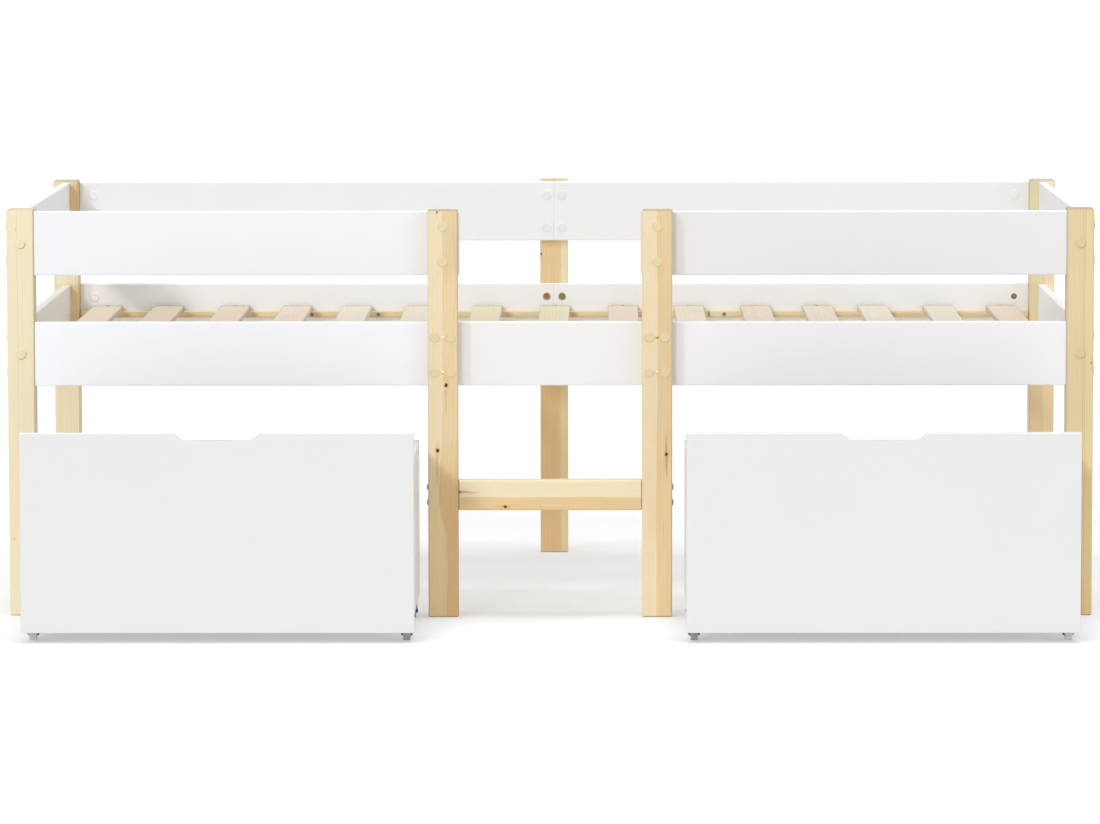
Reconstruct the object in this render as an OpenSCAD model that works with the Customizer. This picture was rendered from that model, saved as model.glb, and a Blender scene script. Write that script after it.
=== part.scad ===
// Low single loft bed with two rolling drawers.
// Millimetres. X runs along the bed, Y from the ladder side to the back, Z up.
// The origin is on the floor under the middle of the whole bed with its drawers rolled out.

/* [Bed frame] */
// Length over the corner posts
bed_length = 1980; // [1960:5:2040]
// Depth over the corner posts
bed_depth = 980; // [920:5:1080]
// Height of all the posts
post_height = 745; // [743:1:780]
// Corner post, size along the bed
corner_w = 49; // [44:1:56]
// Corner post, size across the bed
corner_d = 50; // [44:1:60]
// Ladder and middle posts, size along the bed
flat_post_w = 55; // [52:1:64]
// Ladder and middle posts, thickness
flat_post_d = 28; // [24:1:36]
// Middle of the bed to the middle of a ladder post
ladder_half = 195; // [170:5:220]

/* [Rails] */
// Height of every rail
rail_h = 116.5; // [104:0.5:116.5]
// Thickness of the long rails
rail_t = 18; // [18:0.5:22]
// Thickness of the end rails
end_rail_t = 15; // [15:0.5:18]
// Floor to the lower edge of the upper (guard) rails
guard_z = 624.5; // [600:0.5:624.5]
// Floor to the lower edge of the lower rails
side_z = 422.5; // [415:0.5:430]
// How far the long rails sit back from the faces of the corner posts
rail_setback = 3; // [0:0.5:5]
// Height of the ladder rung
rung_h = 55; // [46:1:70]
// Floor to the lower edge of the ladder rung
rung_z = 196.5; // [150:0.5:260]

/* [Slats] */
// Number of slats
slat_count = 15; // [11:1:17]
// Middle of the first slat to the middle of the last one
deck_span = 1770; // [1700:5:1790]
// Width of a slat
slat_w = 58; // [50:1:70]
// Thickness of a slat
slat_t = 11; // [10:0.5:16]
// Floor to the top of the slats
deck_z = 496; // [490:0.5:498]
// Slat batten, size across the bed
batten_d = 20; // [18:1:26]
// Slat batten, height
batten_h = 12; // [11:0.5:16]

/* [Drawers] */
// Width of a drawer front
front_w = 696; // [640:2:698]
// Height of a drawer front
front_h = 355; // [330:1:390]
// Thickness of a drawer front
front_t = 16; // [15:0.5:18]
// Gap under a drawer front
front_z = 18; // [12:1:24]
// Thickness of the drawer sides and back
side_t = 15; // [15:0.5:16]
// Thickness of the drawer base board
base_t = 12; // [12:0.5:15]
// Floor to the top edge of the drawer sides
box_top = 321; // [300:1:330]
// Drawer depth behind its front
box_d = 384; // [360:1:420]
// How far each side stands in from the edge of the front
side_inset = 2.5; // [0.5:0.5:5]
// How far the base board stands in from the sides
base_inset = 2.5; // [0:0.5:3]
// Middle of the left drawer
drawer_left_x = -585.5; // [-588:0.5:-578]
// Middle of the right drawer
drawer_right_x = 591; // [578:0.5:591]
// How far the drawer fronts are rolled out from the face of the corner posts
drawer_out = 380; // [300:1:600]
// Finger notch, width at the top edge
notch_top = 153; // [120:1:180]
// Finger notch, width at its floor
notch_floor = 118; // [80:1:118]
// Finger notch, depth
notch_d = 14.5; // [12:0.5:20]

/* [Castors] */
// Wheel diameter
wheel_d = 25; // [22:0.5:25]
// Tread width
wheel_w = 12.4; // [10:0.2:12.8]
// Mounting height of a castor
castor_h = 28; // [28:0.5:32]
// Outer edge of the drawer front to the middle of an outer wheel
castor_in = 18.5; // [16:0.5:24]
// Inner edge of the drawer front to the middle of an inner wheel
castor_in_inner = 14.5; // [14.5:0.5:24]
// Face of the drawer front to the front axle
castor_front = 42; // [42:1:60]
// Face of the drawer front to the back axle
castor_back = 354; // [320:1:354]

/* [Hidden] */
$fn = 48;
e_post = 2.2;      // eased edge of a post
e_rail = 1.5;      // eased edge of a rail
e_slat = 1.4;      // eased edge of a slat
e_panel = 1.0;     // eased edge of a drawer panel

pitch = 64;        // spacing of a pair of bolts
joint_in = 14.5;   // butt joint of two rails to the row of bolts beside it
nut_in = 29;       // post to the middle of a barrel nut
cap_r = 9;         // bolt cap
cap_proud = 1.5;
cbore_r = 8;       // counterbore for a bolt head
shank_r = 3;       // M6 bolt
clear_r = 3.5;     // clearance hole for a bolt
nut_r = 5.9;       // barrel nut
nut_hole_r = 6;
nut_l = 11;
flange_r = 6.4;    // sleeve nut
sleeve_r = 4.4;
screw_r = 1.5;     // wood screw
pilot_r = 1.55;

// Y of the main planes: the box over everything is centred on the origin
y_front = -(bed_depth - rail_setback + flat_post_d + cap_proud - drawer_out) / 2;
y_back = y_front + bed_depth;
y_mid = (y_front + y_back) / 2;
x_end = bed_length / 2;
x_rail = x_end - corner_w;                       // end of the long rails
x_corner = x_end - corner_w / 2;                 // middle of a corner post
y_rail_out = y_front + rail_setback;             // outer face of the front rails
y_rail_in = y_rail_out + rail_t;                 // inner face of the front rails
y_rail_mid = y_rail_out + rail_t / 2;
levels = [guard_z, side_z];                      // lower edges of the two rail levels
level_mid = [for (z = levels) z + rail_h / 2];
guard_gap = ladder_half - flat_post_w / 2 - 2.5; // inner ends of the front guard rails
batten_z = deck_z - slat_t - batten_h;
slat_l = bed_depth - 2 * (rail_setback + rail_t) - 6;
batten_joint = 307;                              // butt joint of the battens
deck_screw_in = 13;                              // rail face to a slat screw
rung_bolt_z = [rung_z + rung_h / 2 - 14, rung_z + rung_h / 2 + 14];
back_joint_in = [14.5, 16];                      // butt joint of the back rails to the bolts left and right of it
stud_r = 1.5;                                    // round-headed stud between two caps
stud_hole_r = 1.55;

// The slats are screwed down by eye, so each is a little off its even place
slat_off = [0, -5, 0, -3, -11, -12, -5, 2, 10, 14, 19, 15, -2, 1, 0];
slat_x = [for (i = [0 : slat_count - 1]) (i / (slat_count - 1) - 0.5) * deck_span + (slat_count == 15 ? slat_off[i] : 0)];
slat_third = ceil(slat_count / 3);
// and some screws are not driven quite home
screw_up = [0.9, 0, 0.6, 0, 0, 0, 0, 0, 0.8, 0, 0, 0.9, 0, 0, 0];
batten_screw_x = [-870, -618, -480, -348, -116, 152, 337, 535, 745, 870];

// Drawer, with x from its middle, y from the face of its front and z from the floor
half_front = front_w / 2;
x_side = half_front - side_inset;                // outer face of a side
base_z = castor_h;                               // underside of the base board
box_z = base_z + base_t;                         // lower edge of the sides
y_box = front_t;                                 // front end of the box
y_box_end = front_t + box_d;
cam_r = 7.4;
cam_hole_r = 7.5;
cam_in = 30;                                     // panel end to the middle of a cam
cam_z = [box_z + 45, box_top - 45];
base_screw_y = [100, 208, 302];
base_screw_x = [-200, 0, 200];
castor_y = [castor_front, castor_back];
x_base = x_side - base_inset;                    // edge of the base board
base_screw_in = side_t / 2 + 0.5;                // outer face of a side to the screws under it
axle_z = wheel_d / 2;
castor_screw = 17;                               // axle to a castor screw
pin_r = 2.45;                                    // castor axle
pin_hole_r = 2.5;
fork_half = 9;                                   // outside of the fork
fork_t = 1.5;

pine = "#ead6a4";
pine_dark = "#d9bd86";
slat_pine = "#e6d5bf";
white = "#f5f4f2";
zinc = "#b9bcc0";
brass = "#b08d4f";
grey_plastic = "#c9c9c6";

// ---------------------------------------------------------------- shapes used again and again

// Rectangle a by b with its corners cut at 45 degrees by e
module cut_rect(a, b, e) {
    polygon([[e, 0], [a - e, 0], [a, e], [a, b - e], [a - e, b], [e, b], [0, b - e], [0, e]]);
}

// Board of size s from the origin, all twelve edges eased by e
module board(s, e) {
    intersection() {
        linear_extrude(s.z) cut_rect(s.x, s.y, e);
        translate([0, s.y, 0]) rotate([90, 0, 0]) linear_extrude(s.y) cut_rect(s.x, s.z, e);
        rotate([90, 0, 90]) linear_extrude(s.x) cut_rect(s.y, s.z, e);
    }
}

// Round bar or hole that starts at p and runs l along +X, +Y or +Z
module bar_x(p, r, l) { translate(p) rotate([0, 90, 0]) cylinder(h = l, r = r); }
module bar_y(p, r, l) { translate(p) rotate([-90, 0, 0]) cylinder(h = l, r = r); }
module bar_z(p, r, l) { translate(p) cylinder(h = l, r = r); }

// The same thing at the other end of the bed, or on the other long side
module other_end() { mirror([1, 0, 0]) children(); }
module other_side() { translate([0, 2 * y_mid, 0]) mirror([0, 1, 0]) children(); }

// Countersunk screw that points down, its head flush with z = 0
module wood_screw(l) {
    difference() {
        union() {
            translate([0, 0, -2.4]) cylinder(h = 2.2, r1 = screw_r - 0.1, r2 = 3.6);
            translate([0, 0, -l]) cylinder(h = l - 2, r = screw_r);
        }
        translate([-1.9, -0.45, -1.4]) cube([3.8, 0.9, 2]);
        translate([-0.45, -1.9, -1.4]) cube([0.9, 3.8, 2]);
    }
}

// Clearance for its head
module countersink() { translate([0, 0, -2.6]) cylinder(h = 2.7, r1 = 1.5, r2 = 4.2); }

// Bolt head (thickness 3) and shank along +Z, seat of the head at z = 0
module bolt(l) {
    difference() {
        union() {
            translate([0, 0, -3]) cylinder(h = 3, r = 6.5);
            cylinder(h = l, r = shank_r);
        }
        translate([0, 0, -3.1]) cylinder(h = 2, r = 2.3, $fn = 6);
    }
}

// Push-in cap for a hole of radius r: its rim lies on z = 0 and it faces -Z
module cap(r = cbore_r) {
    translate([0, 0, -0.5]) cylinder(h = 0.5, r = cap_r);
    translate([0, 0, -cap_proud]) cylinder(h = cap_proud - 0.5, r1 = cap_r - 0.8, r2 = cap_r);
    cylinder(h = 1.6, r = r - 0.1);
}

// Barrel nut along Z, centred, with its cross hole along X and a driver slot at its +Z end
module barrel_nut() {
    difference() {
        translate([0, 0, -nut_l / 2]) cylinder(h = nut_l, r = nut_r);
        translate([-8, 0, 0]) rotate([0, 90, 0]) cylinder(h = 16, r = shank_r + 0.05);
        translate([-8, -0.8, nut_l / 2 - 1.6]) cube([16, 1.6, 3]);
    }
}

// Sleeve nut: flange from z = 0 to 2, sleeve on to z = 13, its hole open at the far end
module sleeve_nut() {
    difference() {
        union() {
            cylinder(h = 2, r = flange_r);
            cylinder(h = 13, r = sleeve_r);
        }
        translate([0, 0, 3]) cylinder(h = 12, r = shank_r + 0.05);
        translate([0, 0, -1]) cylinder(h = 2.4, r = 2.3, $fn = 6);
    }
}

// ---------------------------------------------------------------- where the fastenings are

// Heights of the pair of bolts at each end of a long rail
pair_z = [for (m = level_mid) for (s = [-1, 1]) m + s * pitch / 2];

// Places on the inner face of the long rails where a post bolt ends: [x, z]
front_post_bolts = concat(
    [for (sx = [-1, 1]) for (s = [-1, 1]) [sx * ladder_half, level_mid[0] + s * pitch / 2]],
    [for (sx = [-1, 1]) for (k = [-1, 1]) for (s = [-1, 1]) [sx * ladder_half + k * joint_in, level_mid[1] + s * pitch / 2]]);
back_post_bolts = [for (m = level_mid) for (x = [-back_joint_in[0], back_joint_in[1]]) for (s = [-1, 1]) [x, m + s * pitch / 2]];
stud_z = [for (s = [-1, 1]) level_mid[1] + s * pitch / 2];

// ---------------------------------------------------------------- posts

// Corner post, as it stands at the front left
module corner_post() {
    color(pine) difference() {
        translate([-x_end, y_front, 0]) board([corner_w, corner_d, post_height], e_post);
        for (z = pair_z) {
            bar_x([-x_end - 1, y_rail_mid, z], clear_r, corner_w + 2);
            bar_x([-x_end - 1, y_rail_mid, z], cbore_r, 7);
        }
        for (z = level_mid) {
            bar_y([-x_corner, y_front - 1, z], clear_r, corner_d + 2);
            bar_y([-x_corner, y_front - 1, z], cbore_r, 7);
        }
    }
}

// Flat post on the outside of the front rails, its middle at x, bored for the bolts given as [x, z]
module flat_post(x, bolts) {
    difference() {
        translate([x - flat_post_w / 2, y_rail_out - flat_post_d, 0])
            board([flat_post_w, flat_post_d, post_height], e_post);
        for (b = bolts) {
            bar_y([b.x, y_rail_out - flat_post_d - 1, b.y], clear_r, flat_post_d + 2);
            bar_y([b.x, y_rail_out - flat_post_d - 1, b.y], cbore_r, 9);
        }
    }
}

module ladder_post() {
    color(pine) difference() {
        flat_post(-ladder_half, [for (b = front_post_bolts) if (b.x < 0) b]);
        for (z = rung_bolt_z)
            bar_x([-ladder_half - flat_post_w / 2 - 1, y_rail_out - flat_post_d / 2, z], clear_r, flat_post_w + 2);
        for (z = stud_z) bar_y([-ladder_half, y_rail_out - flat_post_d - 1, z], stud_hole_r, 17);
    }
}

module post_back_middle() {
    color(pine_dark) other_side() flat_post(0, back_post_bolts);
}

module ladder_rung() {
    half = ladder_half - flat_post_w / 2;
    color(pine) difference() {
        translate([-half, y_rail_out - flat_post_d, rung_z]) board([2 * half, flat_post_d, rung_h], e_post);
        for (sx = [-1, 1]) for (z = rung_bolt_z) {
            bar_x([sx < 0 ? -half - 1 : half - 39, y_rail_out - flat_post_d / 2, z], clear_r, 40);
            bar_y([sx * (half - nut_in), y_rail_out - flat_post_d / 2 - 6, z], nut_hole_r, flat_post_d);
        }
    }
}

// ---------------------------------------------------------------- rails

// Long rail on the front side from x0 to x1, lower edge at z. Ends listed in corner_ends (-1 left,
// 1 right) are bolted to a corner post; bolts lists the post bolts through it as [x, z]
module long_rail(x0, x1, z, corner_ends, bolts) {
    color(white) difference() {
        translate([x0, y_rail_out, z]) board([x1 - x0, rail_t, rail_h], e_rail);
        for (sx = corner_ends) for (s = [-1, 1]) {
            zb = z + rail_h / 2 + s * pitch / 2;
            bar_x([sx < 0 ? x0 - 1 : x1 - 40, y_rail_mid, zb], clear_r, 41);
            bar_y([sx < 0 ? x0 + nut_in : x1 - nut_in, y_rail_out + 1.5, zb], nut_hole_r, rail_t);
        }
        for (b = bolts) if (b.x > x0 && b.x < x1 && b.y > z && b.y < z + rail_h) {
            bar_y([b.x, y_rail_out - 1, b.y], sleeve_r + 0.2, rail_t + 2);
            bar_y([b.x, y_rail_in - 4, b.y], cbore_r, 6);
        }
        if (z == side_z) for (x = batten_screw_x) if (x > x0 && x < x1)
            bar_y([x, y_rail_in - 12, batten_z + batten_h / 2], pilot_r, 13);
    }
}

// End rail between two corner posts, as it stands at the left, lower edge at z
module end_rail_at(z) {
    y0 = y_front + corner_d;
    l = bed_depth - 2 * corner_d;
    zb = z + rail_h / 2;
    color(white) difference() {
        translate([-x_corner - end_rail_t / 2, y0, z]) board([end_rail_t, l, rail_h], e_rail);
        for (y = [y0 - 1, y0 + l - 40]) bar_y([-x_corner, y, zb], clear_r, 41);
        for (y = [y0 + nut_in, y0 + l - nut_in]) bar_x([-x_corner - end_rail_t / 2 + 1.5, y, zb], nut_hole_r, end_rail_t);
    }
}

// The rails on the left (sx = -1) or right (sx = 1)
module rail_on(sx, inner, z, bolts) {
    if (sx < 0) long_rail(-x_rail, -inner, z, [-1], bolts);
    else long_rail(inner, x_rail, z, [1], bolts);
}
module guard_rail_front(sx) { rail_on(sx, guard_gap, guard_z, front_post_bolts); }
module side_rail_front(sx) { rail_on(sx, ladder_half, side_z, front_post_bolts); }
module side_rail_front_middle() { long_rail(-ladder_half, ladder_half, side_z, [], front_post_bolts); }
module guard_rail_back(sx) { other_side() rail_on(sx, 0, guard_z, back_post_bolts); }
module side_rail_back(sx) { other_side() rail_on(sx, 0, side_z, back_post_bolts); }

// ---------------------------------------------------------------- slats and battens

// Two battens butted at x = joint on the inside of the front rails
module slat_battens(joint) {
    lim = x_rail - 1;
    color(pine_dark) difference() {
        union() {
            translate([-lim, y_rail_in, batten_z]) board([joint + lim, batten_d, batten_h], 1);
            translate([joint + 0.3, y_rail_in, batten_z]) board([lim - joint - 0.3, batten_d, batten_h], 1);
        }
        for (x = batten_screw_x) batten_hole(x);
        for (x = slat_x) bar_z([x, y_rail_in + deck_screw_in, batten_z - 1], pilot_r, batten_h + 2);
    }
}

module batten_hole(x) {
    translate([x, y_rail_in + batten_d, batten_z + batten_h / 2]) rotate([-90, 0, 0]) countersink();
    bar_y([x, y_rail_in - 1, batten_z + batten_h / 2], pilot_r, batten_d + 2);
}

module slat(x) {
    color(slat_pine) difference() {
        translate([x - slat_w / 2, y_mid - slat_l / 2, deck_z - slat_t]) board([slat_w, slat_l, slat_t], e_slat);
        for (y = [y_rail_in + deck_screw_in, 2 * y_mid - y_rail_in - deck_screw_in]) {
            bar_z([x, y, deck_z - slat_t - 1], pilot_r, slat_t + 2);
            translate([x, y, deck_z]) countersink();
        }
    }
}

module slats(first, last) { for (i = [first : last]) slat(slat_x[i]); }

// ---------------------------------------------------------------- frame fastenings

// Every connector bolt into a rail end, as on the front left corner
module corner_bolt_set() {
    for (z = pair_z) translate([-x_end + 6, y_rail_mid, z]) rotate([0, 90, 0]) bolt(corner_w + nut_in + 3);
    for (z = level_mid) translate([-x_corner, y_front + 6, z]) rotate([-90, 0, 0]) bolt(corner_d + nut_in + 3);
}

module corner_bolts() {
    color(zinc) {
        corner_bolt_set();
        other_end() corner_bolt_set();
        other_side() { corner_bolt_set(); other_end() corner_bolt_set(); }
    }
}

module corner_nut_set() {
    for (z = pair_z) translate([-x_rail + nut_in, y_rail_mid, z]) rotate([-90, 0, 0]) barrel_nut();
    for (z = level_mid)
        translate([-x_corner, y_front + corner_d + nut_in, z])
            rotate([0, 90, 0]) rotate([0, 0, 90]) barrel_nut();
}

module barrel_nuts() {
    half = ladder_half - flat_post_w / 2;
    color(brass) {
        corner_nut_set();
        other_end() corner_nut_set();
        other_side() { corner_nut_set(); other_end() corner_nut_set(); }
        for (sx = [-1, 1]) for (z = rung_bolt_z)
            translate([sx * (half - nut_in), y_rail_out - flat_post_d / 2, z]) rotate([-90, 0, 0]) barrel_nut();
    }
}

// Bolts and sleeve nuts through a flat post and the rail behind it, as on the front
module post_bolt_set(bolts) {
    for (b = bolts) translate([b.x, y_rail_out - flat_post_d + 8, b.y]) rotate([-90, 0, 0]) bolt(flat_post_d - 8 + rail_t - 7.5);
}
module sleeve_nut_set(bolts) {
    for (b = bolts) translate([b.x, y_rail_in - 2, b.y]) rotate([90, 0, 0]) sleeve_nut();
}

module post_bolts() {
    color(zinc) {
        post_bolt_set(front_post_bolts);
        other_side() post_bolt_set(back_post_bolts);
    }
}

module sleeve_nuts() {
    color(brass) {
        sleeve_nut_set(front_post_bolts);
        other_side() sleeve_nut_set(back_post_bolts);
    }
}

// Dome-headed bolt through a ladder post into the rung
module rung_bolt() {
    difference() {
        union() {
            intersection() {
                translate([0, 0, 6.67]) sphere(r = 9.67, $fn = 64);
                translate([-10, -10, -10]) cube([20, 20, 10]);
            }
            cylinder(h = flat_post_w + nut_in + 8, r = shank_r);
        }
        translate([0, 0, -4]) cylinder(h = 3, r = 2.3, $fn = 6);
    }
}

module rung_bolts() {
    color(zinc) for (z = rung_bolt_z) {
        translate([-ladder_half - flat_post_w / 2, y_rail_out - flat_post_d / 2, z]) rotate([0, 90, 0]) rung_bolt();
        other_end() translate([-ladder_half - flat_post_w / 2, y_rail_out - flat_post_d / 2, z]) rotate([0, 90, 0]) rung_bolt();
    }
}

// Round-headed studs on the ladder posts, midway between the caps over a butt joint
module joint_stud_set() {
    for (z = stud_z) translate([-ladder_half, y_rail_out - flat_post_d, z]) {
        bar_y([0, 0, 0], stud_r, 15);
        intersection() {
            translate([0, 1.75, 0]) sphere(r = 3.25);
            translate([-5, -5, -5]) cube([10, 5, 10]);
        }
    }
}
module joint_studs() {
    color(brass) {
        joint_stud_set();
        other_end() joint_stud_set();
    }
}

module corner_cap_set() {
    for (z = pair_z) translate([-x_end, y_rail_mid, z]) rotate([0, 90, 0]) cap();
    for (z = level_mid) translate([-x_corner, y_front, z]) rotate([-90, 0, 0]) cap();
}
module post_cap_set(bolts) {
    for (b = bolts) translate([b.x, y_rail_out - flat_post_d, b.y]) rotate([-90, 0, 0]) cap();
}

module pine_bolt_caps() {
    color(pine_dark) {
        corner_cap_set();
        other_end() corner_cap_set();
        other_side() { corner_cap_set(); other_end() corner_cap_set(); }
        post_cap_set(front_post_bolts);
        other_side() post_cap_set(back_post_bolts);
    }
}

// White caps over the sleeve nuts of the guard rails, on the mattress side
module white_cap_set(bolts) {
    for (b = bolts) if (b.y > guard_z) translate([b.x, y_rail_in, b.y]) rotate([90, 0, 0]) cap();
}

// White caps over the barrel nuts of a long rail, and of the end rail beside it, on the mattress side
module nut_cap_set(z) {
    for (s = [-1, 1]) translate([-x_rail + nut_in, y_rail_in, z + rail_h / 2 + s * pitch / 2]) rotate([90, 0, 0]) cap(nut_hole_r);
}
module end_nut_cap(z) {
    translate([-x_corner + end_rail_t / 2, y_front + corner_d + nut_in, z + rail_h / 2]) rotate([0, -90, 0]) cap(nut_hole_r);
}
module upper_nut_caps() {
    nut_cap_set(guard_z);
    end_nut_cap(guard_z);
}

module white_bolt_caps() {
    color(white) {
        white_cap_set(front_post_bolts);
        other_side() white_cap_set(back_post_bolts);
        upper_nut_caps();
        other_end() upper_nut_caps();
        other_side() {
            upper_nut_caps();
            other_end() upper_nut_caps();
            nut_cap_set(side_z);
        }
    }
}

module deck_screw_set() {
    for (i = [0 : slat_count - 1])
        translate([slat_x[i], y_rail_in + deck_screw_in, deck_z + (slat_count == 15 ? screw_up[i] : 0)]) wood_screw(slat_t + batten_h - 1);
    for (x = batten_screw_x) translate([x, y_rail_in + batten_d, batten_z + batten_h / 2]) rotate([-90, 0, 0]) wood_screw(batten_d + 11);
}

module slat_and_batten_screws() {
    color(zinc) {
        deck_screw_set();
        other_side() deck_screw_set();
    }
}

// ---------------------------------------------------------------- drawers

// A drawer stands with the middle of its front's face at this place
module at_drawer(x) { translate([x, y_front - drawer_out, 0]) children(); }

// Points of an arc of radius r about c, from angle a0 to a1
function arc(c, r, a0, a1, n = 8) = [for (i = [0 : n]) let (a = a0 + (a1 - a0) * i / n) [c.x + r * cos(a), c.y + r * sin(a)]];

// Half of the finger notch's outline for x > 0, from its floor up to the top edge: the slanted side
// leaves the floor and meets the edge in round bends
notch_r = 9;
notch_a = atan2(notch_d, (notch_top - notch_floor) / 2);   // slope of the slanted side
function notch_half() =
    let (t = notch_r * tan(notch_a / 2))
    concat(
        arc([notch_floor / 2 - t, notch_r], notch_r, -90, -90 + notch_a),
        arc([notch_top / 2 + t, notch_d - notch_r], notch_r, 90 + notch_a, 90));

module notch_shape() {
    right = notch_half();
    n = len(right);
    top = notch_d + 5;
    translate([0, front_z + front_h - notch_d])
        polygon(concat(right, [[right[n - 1].x, top], [-right[n - 1].x, top]], [for (i = [n - 1 : -1 : 0]) [-right[i].x, right[i].y]]));
}

module drawer_front(x) {
    color(white) at_drawer(x) difference() {
        translate([-half_front, 0, front_z]) board([front_w, front_t, front_h], e_panel);
        translate([0, front_t + 1, 0]) rotate([90, 0, 0]) linear_extrude(front_t + 2) notch_shape();
        for (sx = [-1, 1]) for (z = cam_z)
            bar_y([sx * (x_side - side_t / 2), front_t - 11, z], 2.5, 12);
    }
}

// Side panel on the side sx (-1 left, 1 right) of the drawer at x
module drawer_side(x, sx) {
    xm = sx * (x_side - side_t / 2);
    color(white) at_drawer(x) difference() {
        translate([xm - side_t / 2, y_box, box_z]) board([side_t, box_d, box_top - box_z], e_panel);
        for (z = cam_z) {
            bar_y([xm, y_box - 1, z], 3.6, cam_in + 1);
            bar_x([xm - (sx > 0 ? side_t / 2 + 1 : side_t / 2 - 2.5), y_box + cam_in, z], cam_hole_r, side_t - 1.5);
            bar_x([sx > 0 ? xm - side_t / 2 - 1 : xm + side_t / 2 - 11, y_box_end - side_t / 2, z], 2.5, 12);
        }
        for (y = base_screw_y) bar_z([sx * (x_side - base_screw_in), y, box_z - 1], pilot_r, 16);
    }
}

module drawer_back(x) {
    half = x_side - side_t;
    ym = y_box_end - side_t / 2;
    color(white) at_drawer(x) difference() {
        translate([-half, y_box_end - side_t, box_z]) board([2 * half, side_t, box_top - box_z], e_panel);
        for (sx = [-1, 1]) for (z = cam_z) {
            bar_x([sx < 0 ? -half - 1 : half - cam_in, ym, z], 3.6, cam_in + 1);
            bar_y([sx * (half - cam_in), ym - side_t / 2 - 1, z], cam_hole_r, side_t - 1.5);
        }
        for (xs = base_screw_x) bar_z([xs, ym, box_z - 1], pilot_r, 16);
    }
}

// A castor on the side sx of the drawer at x, measured from the drawer's middle
function castor_x(x, sx) = sx * (half_front - (sx * x > 0 ? castor_in : castor_in_inner));

module drawer_base(x) {
    color(white) at_drawer(x) difference() {
        translate([-x_base, y_box, base_z]) board([2 * x_base, box_d, base_t], e_panel);
        for (sx = [-1, 1]) for (y = base_screw_y) base_hole(sx * (x_side - base_screw_in), y);
        for (xs = base_screw_x) base_hole(xs, y_box_end - side_t / 2);
        for (sx = [-1, 1]) for (y = castor_y) for (s = [-1, 1])
            bar_z([castor_x(x, sx), y + s * castor_screw, base_z - 1], pilot_r, 10.5);
    }
}

module base_hole(x, y) {
    translate([x, y, base_z]) mirror([0, 0, 1]) countersink();
    bar_z([x, y, base_z - 1], pilot_r, base_t + 2);
}

// Cam along Z with its screwdriver cross at z = 0, turned so that its bolt comes from +X
module cam() {
    difference() {
        translate([0, 0, -11.5]) cylinder(h = 11.3, r = cam_r);
        translate([-1.2, -3.9, -12]) cube([12, 7.8, 8.5]);
        translate([-3.2, -0.6, -1.8]) cube([6.4, 1.2, 3]);
        translate([-0.6, -3.2, -1.8]) cube([1.2, 6.4, 3]);
    }
}

// Its bolt along X: the threaded end is outside x = cam_in, the head is inside the cam
module cam_bolt() {
    bar_x([cam_in, 0, 0], 2.45, 10);
    bar_x([9, 0, 0], 3.4, cam_in - 9);
    bar_x([3, 0, 0], 1.7, 7);
    bar_x([0.2, 0, 0], 3.2, 3);
}

module drawer_cam_fittings(x) {
    half = x_side - side_t;
    color(zinc) at_drawer(x) for (z = cam_z) {
        // into the front
        for (sx = [-1, 1]) {
            translate([sx * half, y_box + cam_in, z]) rotate([0, -sx * 90, 0]) rotate([0, 0, -90]) cam();
            translate([sx * (half + side_t / 2), y_box + cam_in, z]) rotate([0, 0, -90]) cam_bolt();
        }
        // from the back into the sides
        for (sx = [-1, 1]) {
            translate([sx * (half - cam_in), y_box_end - side_t, z]) rotate([90, 0, 0]) rotate([0, 0, sx > 0 ? 0 : 180]) cam();
            translate([sx * (half - cam_in), y_box_end - side_t / 2, z]) rotate([0, 0, sx > 0 ? 0 : 180]) cam_bolt();
        }
    }
}

// Pan-head screw that points up, under the plate of a castor at z = 0
module castor_screw_body() {
    difference() {
        union() {
            translate([0, 0, -1.8]) cylinder(h = 1.8, r = 3.4);
            cylinder(h = 10, r = screw_r);
        }
        translate([-1.8, -0.4, -2]) cube([3.6, 0.8, 1.3]);
        translate([-0.4, -1.8, -2]) cube([0.8, 3.6, 1.3]);
    }
}

module drawer_screws(x) {
    color(zinc) at_drawer(x) {
        for (sx = [-1, 1]) for (y = base_screw_y)
            translate([sx * (x_side - base_screw_in), y, base_z]) mirror([0, 0, 1]) wood_screw(base_t + 14);
        for (xs = base_screw_x)
            translate([xs, y_box_end - side_t / 2, base_z]) mirror([0, 0, 1]) wood_screw(base_t + 14);
        for (sx = [-1, 1]) for (y = castor_y) for (s = [-1, 1])
            translate([castor_x(x, sx), y + s * castor_screw, base_z - fork_t]) castor_screw_body();
    }
}

// ---------------------------------------------------------------- castors

// Each stands with its wheel on the floor under the origin and rolls along Y
module castor_fork() {
    difference() {
        union() {
            translate([-fork_half, -24, castor_h - fork_t]) cube([2 * fork_half, 48, fork_t]);
            for (sx = [-1, 1]) translate([sx < 0 ? -fork_half : fork_half - fork_t, 0, 0])
                rotate([90, 0, 90]) linear_extrude(fork_t) union() {
                    polygon([[-12, castor_h - 1], [12, castor_h - 1], [3.8, axle_z], [-3.8, axle_z]]);
                    translate([0, axle_z]) circle(r = 3.8);
                }
        }
        bar_x([-20, 0, axle_z], pin_hole_r, 40);
        for (s = [-1, 1]) bar_z([0, s * castor_screw, castor_h - fork_t - 1], screw_r + 0.2, fork_t + 2);
    }
}

module castor_axle() {
    bar_x([-fork_half - 1, 0, axle_z], pin_r, 2 * fork_half + 2);
    bar_x([-fork_half - 1.3, 0, axle_z], 3.4, 1.3);
    bar_x([fork_half, 0, axle_z], 3.4, 1.3);
}

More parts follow.
